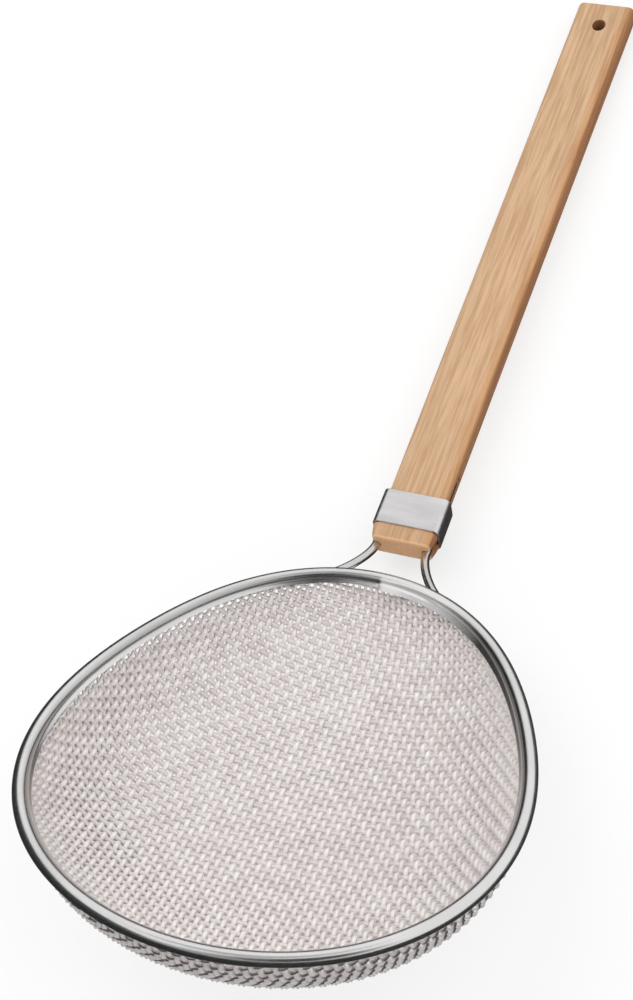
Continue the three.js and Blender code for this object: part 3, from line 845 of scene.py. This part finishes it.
class SKIMMER_OT_rim(bpy.types.Operator):
    """Rolls the strip over the hoop and the hem, with its overlapping seam"""

    bl_idname = "skimmer.rim"
    bl_label = "Rolled rim"

    def strip(self, rim):
        """Middle line of the strip: a cubic from lip to bead, then the oval (a cos t, b sin t)."""
        half = np.array((rim.bead_wide, rim.bead_high)) - rim.sheet / 2
        middle = np.array((rim.bead - rim.bead_wide, 0.0))
        start, slope = rim.lip_starts, rim.lip_slope
        edge = np.array((rim.sheet / 2 - rim.lip_inset, -rim.lip_drop))
        joint = middle + half * np.array((np.cos(start), np.sin(start)))
        reach = np.linalg.norm(joint - edge) / 3
        knots = (
            edge, edge + reach * np.array((np.cos(slope), np.sin(slope))),
            joint - reach * unit(half * np.array((np.sin(start), -np.cos(start)))), joint,
        )
        t = np.linspace(0, 1, 13)[:-1]
        lip = cubic(knots, t)
        wrap = np.linspace(start, QUARTER_TURN - rim.wrap, 33)
        round_bead = middle + half * np.stack((np.cos(wrap), np.sin(wrap)), -1)
        hang = np.concatenate((1 - t, np.zeros(len(wrap))))
        # Weights of the painted shade: full where the lip meets the bead, fading down the lip as t^4 and up
        # the bead over the groove angle
        beside = np.clip(1 - (start - wrap) / rim.groove, 0, 1)
        return np.concatenate((lip, round_bead)), hang, np.concatenate((t ** 4, beside))

    def execute(self, context):
        settings = context.scene.skimmer
        rim = settings.rim
        middle, hang, groove = self.strip(rim)
        along = unit(np.gradient(middle, axis=0))
        aside = np.stack((-along[:, 1], along[:, 0]), -1)
        turns = np.arange(rim.steps) * FULL_TURN / rim.steps
        past = np.mod(turns - rim.seam_at, FULL_TURN)
        lower = rim.seam_drop * np.clip(1 - past / rim.seam_fade, 0, 1)
        proud = rim.seam_rise * np.clip(3 * (1 - past / rim.seam_length), 0, 1)
        rise = (rim.sheet / 2 + proud[:, None] * np.minimum(2 * hang, 1))[..., None]
        outer = middle + aside * rise
        inner = np.broadcast_to(middle - aside * rim.sheet / 2, outer.shape)
        section = np.concatenate((outer, inner[:, ::-1]), 1)
        edge_way = np.array((np.cos(rim.lip_slope), np.sin(rim.lip_slope)))
        fall = there_and_back(hang) ** 2 * lower[:, None]
        section = section - fall[..., None] * edge_way
        points = rim_line(rim, turns[:, None], section[..., 0], section[..., 1])
        place = rim_place(settings.handle)
        piece = ring_object("rim_strip", put(points, place), np.radians(40))
        shine = steel("polished strip", settings.finish.rim, *RIM_FINISH)
        open_part = np.clip(past / rim.seam_length - 1, 0, 1)
        # Painted shade and painted reflection: away from the seam's overlapping end the strip is darkened
        # beside the lip, somewhat more on the right than on the left, in place of a dark crease between
        # bead and lip
        deep = open_part * (0.8 + 0.2 * np.sin(turns))
        mark_points(piece, "groove", deep[:, None] * there_and_back(groove))
        paint_shade(shine, "groove", PAINTED_SHADE_STRENGTH)
        lapped = np.minimum(3 * hang + groove, 1)
        mark_points(piece, "lap", (1 - open_part)[:, None] * there_and_back(lapped))
        dulled(shine, "lap", 1.0, LAP_SHINE)
        finished(piece, shine, "rim_steel", "rim_binding")
        hoop = frame["nodes"]["rim_hoop"]
        hoop.data.materials.clear()
        hoop.data.materials.append(shine)
        return {"FINISHED"}


class SKIMMER_OT_tangs(bpy.types.Operator):
    """Bends the two wires from their grooves in the handle to their seats under the bead"""

    bl_idname = "skimmer.tangs"
    bl_label = "Tangs"

    def route(self, settings):
        """Peg, quarter bend, straight groove, cubic bend and along under the bead, in the rim's frame."""
        handle, tang, rim = settings.handle, settings.tang, settings.rim
        aside = handle.width / 2 - tang.wire
        top = handle.sleeve + tang.above + tang.wire
        bend = 1.4 * tang.wire
        turns = np.linspace(0, QUARTER_TURN, 10)
        tip = aside - tang.wire - tang.peg
        into = np.linspace(tip, aside - bend, 6)[:-1]
        peg_x = np.concatenate((into, aside - bend + bend * np.sin(turns)))
        peg_y = np.concatenate((np.full(5, top - tang.wire), top - tang.wire - bend * (1 - np.cos(turns))))
        groove_y = np.linspace(top - tang.wire - bend, -handle.stub, 24)[1:]
        groove = np.stack((np.concatenate((peg_x, np.full(23, aside))), np.concatenate((peg_y, groove_y)),
                           np.zeros(38)), -1)
        own = between(groove, handle_place(handle), rim_place(handle))
        below = -np.sqrt((rim.bead + tang.gap + tang.wire) ** 2 - tang.outset ** 2)
        under = rim_line(rim, np.linspace(tang.meets, tang.leaves, 16), tang.outset, below)
        down = unit(own[-1] - own[-2])
        along = unit(under[1] - under[0])
        knots = (own[-1], own[-1] + down * tang.pull_handle, under[0] - along * tang.pull_rim, under[0])
        return np.concatenate((own, cubic(knots, np.linspace(0, 1, 40)[1:-1]), under))

    def execute(self, context):
        settings = context.scene.skimmer
        tang = settings.tang
        place = rim_place(settings.handle)
        path = self.route(settings)
        material = steel("tang wire", settings.finish.tang, *TANG_FINISH)
        face = between(np.array(((0, 0, 0), (0, 0, 1.0))), handle_place(settings.handle), place)
        side = np.broadcast_to(face[1] - face[0], path.shape)
        for name, sign in (("left_tang", -1.0), ("right_tang", 1.0)):
            mirror = np.array((sign, 1.0, 1.0))
            sections = tube_sections(path, side, tang.wire, tang.sides) * mirror
            piece = bar_object(f"{name}_wire", put(sections, place), np.radians(50))
            finished(piece, material, "tang_steel", name)
        return {"FINISHED"}


class SKIMMER_OT_ferrule(bpy.types.Operator):
    """Folds the plain satin sleeve round the handle"""

    bl_idname = "skimmer.ferrule"
    bl_label = "Ferrule"

    def execute(self, context):
        settings = context.scene.skimmer
        handle = settings.handle
        sheet = handle.sleeve_sheet
        width = handle.width + 2 * handle.sleeve_side
        thick = handle.thick + 2 * handle.sleeve_gap
        nose = 0.4 * sheet
        turns = np.linspace(0, QUARTER_TURN, 5)
        out = sheet - nose + nose * np.cos(turns)
        low = nose - nose * np.sin(turns)
        grow = np.concatenate((out, [0.0], [0.0], out[::-1]))
        where = np.concatenate((low, [0.0], [handle.sleeve], handle.sleeve - low[::-1]))
        loops = [rounded_loop(width, thick, handle.sleeve_edge, -step) for step in grow]
        sections = put(along_y(loops, where), handle_place(handle))
        piece = ring_object("ferrule_sleeve", sections, np.radians(40))
        material = steel("satin sleeve", settings.finish.ferrule, *SLEEVE_FINISH)
        finished(piece, material, "ferrule_steel", "ferrule")
        return {"FINISHED"}


class SKIMMER_OT_handle(bpy.types.Operator):
    """Shapes the wooden bar, its grooves and its hanging hole"""

    bl_idname = "skimmer.handle"
    bl_label = "Wooden handle"

    def bar(self, handle):
        """Sections along the bar: rounded ends, inset = e (1 - sin a) at e (1 - cos a) from each end.

        Below the sleeve the half width gains swell - (swell + end) u^1.5, with u from 0 to 1 at the end.
        """
        turns = np.linspace(0, QUARTER_TURN, 7)
        inset = np.concatenate(([handle.end_edge + BESIDE], handle.end_edge * (1 - np.sin(turns)), [0.0]))
        start = np.concatenate(([0.0], handle.end_edge * (1 - np.cos(turns)), [handle.end_edge + BESIDE]))
        plain = np.linspace(PLAIN_FROM, handle.length - PLAIN_FROM, 12)
        middle = np.concatenate((handle.stub + np.array(STUB_STEPS), plain))
        insets = np.concatenate((inset, np.zeros(len(middle)), inset[::-1]))
        places = np.concatenate((start, middle, handle.length - start[::-1])) - handle.stub
        gain = (handle.end_width / handle.width - 1) / (handle.length - handle.stub)
        below = np.clip(-places / handle.stub, 0, 1) ** 1.5
        bulge = handle.swell - (handle.swell + handle.swell_end) * below
        widths = handle.width * (1 + gain * places) + 2 * bulge * np.clip(-places / SWELL_STARTS, 0, 1)
        edges = np.where(places < SHARP_UP_TO, handle.stub_edge, handle.edge)
        loops = [rounded_loop(width, handle.thick, edge, step)
                 for width, edge, step in zip(widths, edges, insets)]
        return along_y(loops, places)

    def groove(self, handle, tang, sign):
        """Sections of one groove's cutter: a round bottom open to the narrow side."""
        radius = tang.wire + GROOVE_ROOM
        aside = handle.width / 2 - tang.wire
        turns = np.linspace(QUARTER_TURN, 1.5 * HALF_TURN, 13)
        x = np.concatenate((aside + radius * np.cos(turns), [handle.width, handle.width]))
        z = np.concatenate((radius * np.sin(turns), [-radius, radius]))
        ends = (-handle.stub - CUT_PAST, handle.sleeve + tang.above + tang.wire + GROOVE_ROOM)
        loop = np.stack((sign * x, z), -1)
        return along_y((loop, loop), ends)

    def execute(self, context):
        settings = context.scene.skimmer
        handle, tang = settings.handle, settings.tang
        place = handle_place(handle)
        piece = bar_object("wooden_handle", put(self.bar(handle), place))
        hole = round_cut(handle.hole, handle.thick / 2, handle.hole_edge)
        hole[..., 1] *= handle.hole_oval
        hole[..., 1] += handle.length - handle.stub - handle.hole_inset
        cutters = [bar_object("hole_cutter", put(hole, place))]
        for sign in (-1.0, 1.0):
            cutters.append(bar_object("groove_cutter", put(self.groove(handle, tang, sign), place)))
        cut_away(piece, *cutters)
        piece.data.shade_smooth()
        piece.data.set_sharp_from_angle(angle=np.radians(32))
        finished(piece, wood(settings.finish, handle), "handle_wood", "handle")
        return {"FINISHED"}


# Places of the lamps, and what they face
LAMPS = (("left", (-0.8, 0.1, 1.6)), ("right", (0.8, 0.1, 1.6)), ("front", (0.2, -1.4, 0.7)))
LAMP_AIM = (0.0, -0.05, 0.05)
# Greys of the dark cards and the disc, the cards' height above the floor and the disc's small hole
CARDS_TONES = (0.012, 0.03)
CARDS_LIFT = 0.0008
DISC_TONES = (0.015, 0.03)
DISC_HOLE = 0.001


class SKIMMER_OT_stage(bpy.types.Operator):
    """Sets the floor, the lamps, the even sky and the camera"""

    bl_idname = "skimmer.stage"
    bl_label = "Stage"

    def lamp(self, name, at, aim, breadth, power):
        """A square soft lamp that faces a point."""
        data = bpy.data.lights.new(name, "AREA")
        data.size = breadth
        data.energy = power
        lamp = placed(name, data)
        back = unit(np.array(at) - np.array(aim))
        side = unit(np.cross((0.0, 1.0, 0.0), back))
        turn = np.stack((side, np.cross(back, side), back), 1)
        lamp.visible_glossy = False
        lamp.matrix_world = Matrix.Translation(at) @ Matrix(turn.tolist()).to_4x4()

    def sky(self, strength):
        """An even sky that is white to the eye and in reflections, and softer as a light."""
        world = bpy.data.worlds.new("studio")
        world.use_nodes = True
        tree = world.node_tree
        tree.nodes.clear()
        light = add_node(tree, "ShaderNodeBackground", Color=(1, 1, 1, 1), Strength=strength)
        white = add_node(tree, "ShaderNodeBackground", Color=(1, 1, 1, 1), Strength=1.0)
        surface = mixed_shader(tree, seen_directly(tree), light, white)
        add_node(tree, "ShaderNodeOutputWorld", Surface=surface)
        bpy.context.scene.world = world

    def camera(self, settings):
        """The camera, turned from the rim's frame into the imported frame."""
        stage = settings.stage
        data = bpy.data.cameras.new("camera")
        data.sensor_fit = "VERTICAL"
        data.sensor_height = stage.frame_height
        data.lens = stage.lens
        data.clip_start = 0.01
        camera = placed("camera", data)
        turn, origin = rim_place(settings.handle)
        frame_turn = Matrix.Translation(origin.tolist()) @ Matrix(turn.tolist()).to_4x4()
        own = Matrix.Translation(stage.camera_at) @ stage.camera_turn.to_matrix().to_4x4()
        camera.matrix_world = frame_turn @ own
        bpy.context.scene.camera = camera

    def floor(self, settings):
        """A pale floor with a faint grain."""
        half = settings.stage.floor / 2
        corners = ((-half, -half, 0.0), (half, -half, 0.0), (half, half, 0.0), (-half, half, 0.0))
        floor = new_object("floor", corners, [(0, 1, 2, 3)])
        material, tree, shader = new_material("studio floor")
        _, clouds = marks(tree, (1, 1, 1), 40.0, 3.0)
        tone = settings.finish.floor
        grain = ramp(tree, clouds, ((0.2, scaled(tone, 0.995)), (0.8, tone)))
        tree.links.new(grain, shader.inputs["Base Color"])
        shader.inputs["Roughness"].default_value = 0.9
        shader.inputs["Specular IOR Level"].default_value = 0.0
        white = add_node(tree, "ShaderNodeEmission", Color=(1, 1, 1, 1), Strength=1.0)
        part = maths(tree, "MULTIPLY", seen_directly(tree), settings.stage.floor_white)
        surface = mixed_shader(tree, part, shader, white)
        tree.links.new(surface, tree.nodes["Material Output"].inputs["Surface"])
        floor.data.materials.append(material)

    def card(self, name, grid, tones, closed=True):
        """A card from a grid of points, closed round each row, that only shiny surfaces see."""
        quads = grid_quads(*grid.shape[:2], close_columns=closed)
        card = new_object(name, grid.reshape(-1, 3), quads.tolist())
        material, tree, shader = new_material(name)
        _, clouds = marks(tree, (1, 1, 1), 40.0, 2.0)
        stops = ((0.3, (tones[0],) * 3), (0.7, (tones[1],) * 3))
        tree.links.new(ramp(tree, clouds, stops), shader.inputs["Base Color"])
        shader.inputs["Roughness"].default_value = 0.9
        card.data.materials.append(material)
        card.visible_camera = card.visible_diffuse = False
        card.visible_transmission = card.visible_shadow = False

    def cards(self, settings):
        """Dark cards: a flat ring with a wall, higher by cos(a)^2 at the left and by sin(a) in front."""
        stage = settings.stage
        turns = np.arange(64) * FULL_TURN / 64
        radii = np.array((stage.cards_hole, stage.cards, stage.cards))
        left = np.maximum(-np.cos(turns), 0) ** 2
        front = np.maximum(-np.sin(turns), 0)
        rise = stage.cards_rise
        height = rise + (stage.cards_left - rise) * left + (stage.cards_front - rise) * front
        wall = stage.cards * np.tan(height)
        centre = rim_place(settings.handle)[1]
        x = centre[0] + radii[:, None] * np.cos(turns)
        y = centre[1] + radii[:, None] * np.sin(turns)
        z = np.array((0.0, 0.0, 1.0))[:, None] * wall + CARDS_LIFT
        self.card("dark_cards", np.stack((x, y, z), -1), CARDS_TONES)

    def screen(self, settings):
        """Grey screen: part of a ball above the camera, at equal steps of height and turn."""
        stage = settings.stage
        turns = -QUARTER_TURN + np.linspace(-stage.screen_left, stage.screen_right, 49)
        heights = np.linspace(stage.screen_low, stage.screen_top, 25)[:, None]
        centre = rim_place(settings.handle)[1]
        x = centre[0] + stage.cards * np.cos(heights) * np.cos(turns)
        y = centre[1] + stage.cards * np.cos(heights) * np.sin(turns)
        z = stage.cards * np.sin(heights) + 0 * turns
        grey = stage.screen_grey
        self.card("grey_screen", np.stack((x, y, z), -1), (0.9 * grey, 1.1 * grey), closed=False)

    def disc(self, settings):
        """Dark disc round the camera: r = radius u at turn a, square to its line of sight."""
        stage = settings.stage
        turns = np.arange(32) * FULL_TURN / 32
        radii = np.array((DISC_HOLE, stage.camera_disc))[:, None]
        flat = np.stack((radii * np.cos(turns), radii * np.sin(turns), np.zeros((2, 32))), -1)
        camera = bpy.context.scene.camera.matrix_world
        points = flat @ np.array(camera.to_3x3()).T + np.array(camera.translation)
        self.card("camera_disc", points, DISC_TONES)

    def execute(self, context):
        settings = context.scene.skimmer
        self.floor(settings)
        self.cards(settings)
        self.screen(settings)
        stage = settings.stage
        powers = (stage.left_power, stage.right_power, stage.front_power)
        for (name, at), watts in zip(LAMPS, powers):
            self.lamp(name, at, LAMP_AIM, stage.lamp_size, watts)
        self.sky(stage.sky)
        self.camera(settings)
        self.disc(settings)
        context.scene.view_settings.view_transform = "Standard"
        return {"FINISHED"}


class SKIMMER_PT_panel(bpy.types.Panel):
    """Lists the skimmer's pieces"""

    bl_label = "Mesh skimmer"
    bl_space_type = "VIEW_3D"
    bl_region_type = "UI"
    bl_category = "Skimmer"

    def draw(self, context):
        for operator in OPERATORS:
            self.layout.operator(operator.bl_idname)


SETTINGS = (RimSizes, BowlSizes, HandleSizes, TangSizes, Finishes, StageSizes, SkimmerSettings)
OPERATORS = (SKIMMER_OT_stage, SKIMMER_OT_mesh, SKIMMER_OT_rim, SKIMMER_OT_tangs, SKIMMER_OT_ferrule,
             SKIMMER_OT_handle)
CLASSES = (*SETTINGS, *OPERATORS, SKIMMER_PT_panel)


def register():
    """Registers the classes and the scene's settings."""
    for kind in CLASSES:
        bpy.utils.register_class(kind)
    bpy.types.Scene.skimmer = PointerProperty(type=SkimmerSettings)


def unregister():
    """Removes the scene's settings and the classes."""
    del bpy.types.Scene.skimmer
    for kind in reversed(CLASSES):
        bpy.utils.unregister_class(kind)


def main():
    """Builds every piece."""
    register()
    bpy.ops.skimmer.stage()
    bpy.ops.skimmer.mesh()
    bpy.ops.skimmer.rim()
    bpy.ops.skimmer.tangs()
    bpy.ops.skimmer.ferrule()
    bpy.ops.skimmer.handle()


if __name__ == "__main__":
    main()
